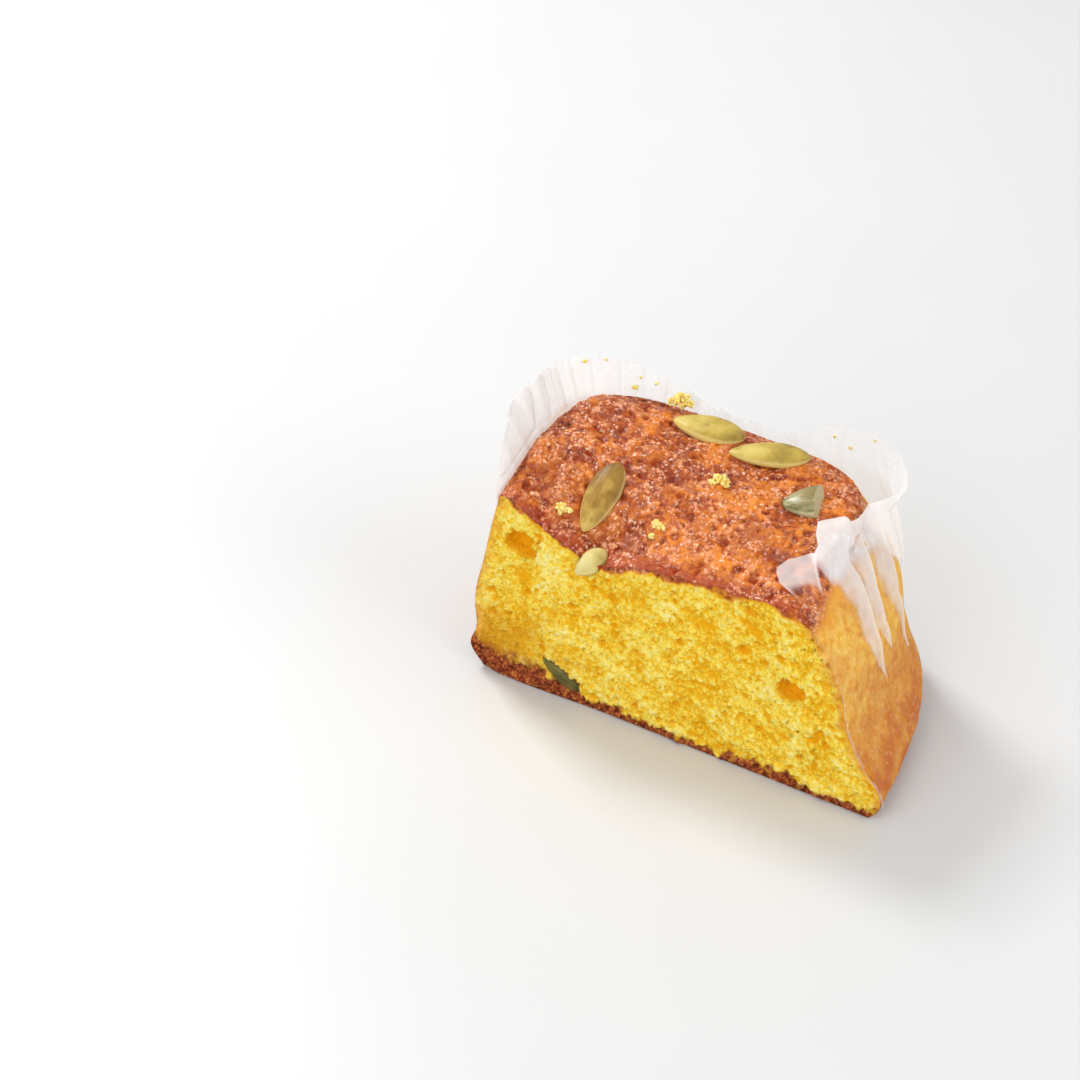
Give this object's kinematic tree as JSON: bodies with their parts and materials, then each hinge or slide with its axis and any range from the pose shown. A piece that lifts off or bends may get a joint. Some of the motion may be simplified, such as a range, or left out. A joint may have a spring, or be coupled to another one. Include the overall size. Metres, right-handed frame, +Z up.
{
  "type": "pumpkin pound cake",
  "caption": "Half of a small pumpkin pound cake, cut upright: yellow crumb, glazed browned top with pumpkin seeds, in its pleated translucent paper case.",
  "frame": {"origin": "on the surface the cake stands on, below the middle of the whole part's box", "axes": "+X along the cut face, from its thick left end to its sloping right end; +Y from the cut face into the cake, so the cut looks along -Y; +Z up"},
  "size_m": [0.077, 0.0453, 0.046],
  "materials": {
    "cake": "yellow open crumb on the cut, glazed reddish brown baked top, tan greasy skin, brown base crust",
    "paper": "thin translucent white greaseproof paper, clear where fat has soaked it",
    "seed": "olive green pumpkin seed with a thin sugar glaze"
  },
  "bodies": {
    "root": {"cake": "cake", "paper_case": "paper", "seed_back_left": "seed", "seed_back_right": "seed", "seed_front": "seed", "seed_piece_top": "seed", "seed_piece_edge": "seed", "seed_piece_base": "seed"}
  },
  "joints": []
}
